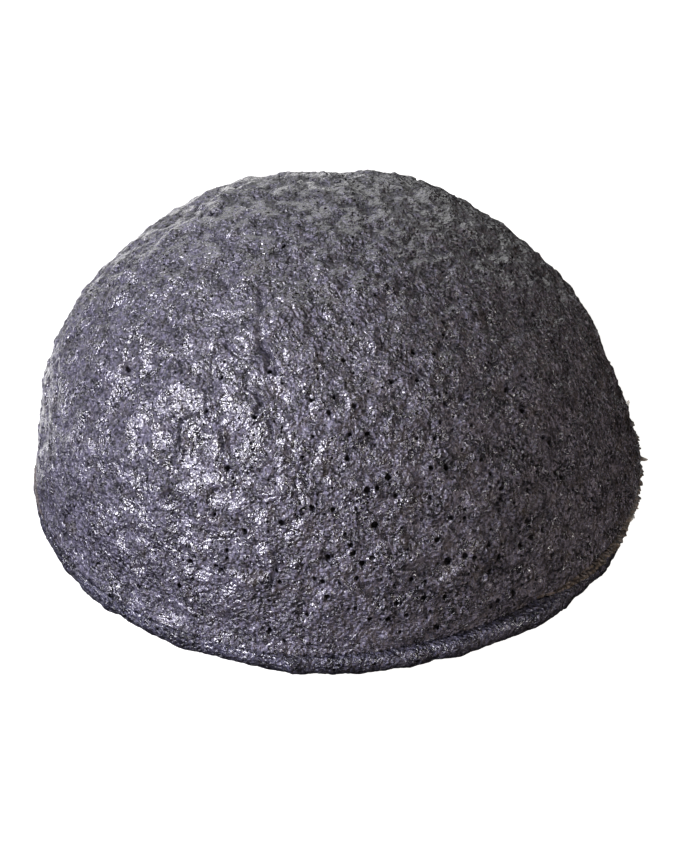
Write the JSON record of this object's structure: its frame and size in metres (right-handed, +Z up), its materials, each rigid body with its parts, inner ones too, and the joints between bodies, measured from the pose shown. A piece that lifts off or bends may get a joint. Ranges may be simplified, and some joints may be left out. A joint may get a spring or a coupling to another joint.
{
  "type": "konjac sponge",
  "caption": "Half-ball konjac facial sponge: leathery skin over a soft open-cell dome, flat underside, rolled lip and a thin torn moulding film round the foot.",
  "frame": {"origin": "middle of the foot, on the flat face that the sponge rests on", "axes": "+Z up through the dome, square to the flat face; +X to the viewer's right in the picture; -Y towards the viewer"},
  "size_m": [0.082, 0.0764, 0.045],
  "materials": {
    "dome_skin": "damp charcoal konjac skin, finely wrinkled, with wet glints and pinhole pores",
    "open_foam": "open-cell damp charcoal foam, matte",
    "flat_skin": "smoother damp charcoal skin with larger open pores",
    "lip_skin": "dense smooth damp skin, slightly blue-grey",
    "torn_film": "thin torn film, paler at its edge"
  },
  "bodies": {
    "root": {"dome_skin": "dome_skin", "foam_core": "open_foam", "base_skin": "flat_skin", "rim_lip": "lip_skin", "rim_film": "torn_film"}
  },
  "joints": []
}
